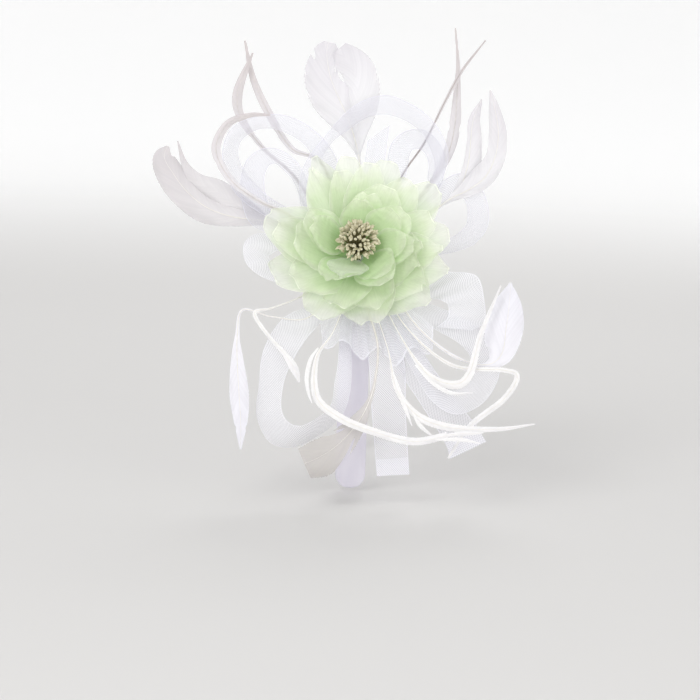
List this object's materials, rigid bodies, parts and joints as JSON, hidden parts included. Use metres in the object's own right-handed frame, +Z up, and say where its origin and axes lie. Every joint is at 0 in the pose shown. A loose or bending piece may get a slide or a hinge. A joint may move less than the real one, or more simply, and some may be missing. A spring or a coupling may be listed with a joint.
{
  "type": "fascinator headpiece",
  "caption": "Satin-covered springy headband carrying a mint organza flower with stamens, crin ribbon loops, goose feathers and stripped feathers on one side.",
  "frame": {"origin": "middle of the headband's flat inner face at its crown, on the side of the head", "axes": "+Z up through the crown, +X ahead of the wearer, -Y to the wearer's right, where the flower sits; the headband's arc lies in the Y-Z plane"},
  "size_m": [0.2311, 0.1864, 0.273],
  "materials": {
    "satin": "pale lavender-white satin with a soft sheen",
    "plastic_strip": "white, springy and matte",
    "felt": "white felt",
    "crin": "open diagonal weave of fine white nylon, see-through, with a faint shine",
    "organza": "sheer mint-green organza, paler at the edges",
    "stamens": "cream seed tips on brown-green stems",
    "plume": "white to pale grey goose feather with cream quills"
  },
  "bodies": {
    "crown": {"arrow_feather": "plume", "coque_feather_inner_left": "plume", "coque_feather_left": "plume", "coque_feather_round": "plume", "crin_corner": "crin", "crin_cross_tail": "crin", "crin_fan": "crin", "crin_inner_arch": "crin", "crin_left_flap": "crin", "crin_left_inner_ring": "crin", "crin_left_outer_ring": "crin", "crin_lower_left_loop": "crin", "crin_lower_right_loop": "crin", "crin_right_loop": "crin", "crin_tail": "crin", "crin_top_loop": "crin", "crin_up_tail": "crin", "crown_core": "plastic_strip", "crown_lining": "satin", "crown_satin": "satin", "felt_backing": "felt", "felt_base": "felt", "goose_feather_fan": "plume", "goose_feather_left": "plume", "goose_feather_low_left": "plume", "goose_feather_low_right": "plume", "goose_feather_right": "plume", "goose_feather_right_back": "plume", "goose_feather_top": "plume", "inner_petal_1": "organza", "inner_petal_2": "organza", "inner_petal_3": "organza", "inner_petal_4": "organza", "inner_petal_5": "organza", "inner_petal_6": "organza", "outer_petal_01": "organza", "outer_petal_02": "organza", "outer_petal_03": "organza", "outer_petal_04": "organza", "outer_petal_05": "organza", "outer_petal_06": "organza", "outer_petal_07": "organza", "outer_petal_08": "organza", "outer_petal_09": "organza", "outer_petal_10": "organza", "outer_petal_11": "organza", "petal_base": "organza", "quill_feather_right": "plume", "spike_feather_right": "plume", "stamens": "stamens", "stripped_feather_back_bend": "plume", "stripped_feather_curl": "plume", "stripped_feather_long": "plume", "stripped_feather_sweep": "plume"},
    "right_arm": {"right_arm_core": "plastic_strip", "right_arm_lining": "satin", "right_arm_satin": "satin"},
    "left_arm": {"left_arm_core": "plastic_strip", "left_arm_lining": "satin", "left_arm_satin": "satin"}
  },
  "joints": [
    {"name": "right_arm_flex", "type": "hinge", "parent": "crown", "child": "right_arm", "pos_m": [0, -0.06583, -0.04827], "axis": [-1, 0, 0], "range_deg": [-5, 8], "stiffness_Nm_per_rad": 0.8},
    {"name": "left_arm_flex", "type": "hinge", "parent": "crown", "child": "left_arm", "pos_m": [0, 0.06583, -0.04827], "axis": [1, 0, 0], "range_deg": [-6, 15], "stiffness_Nm_per_rad": 0.8}
  ]
}
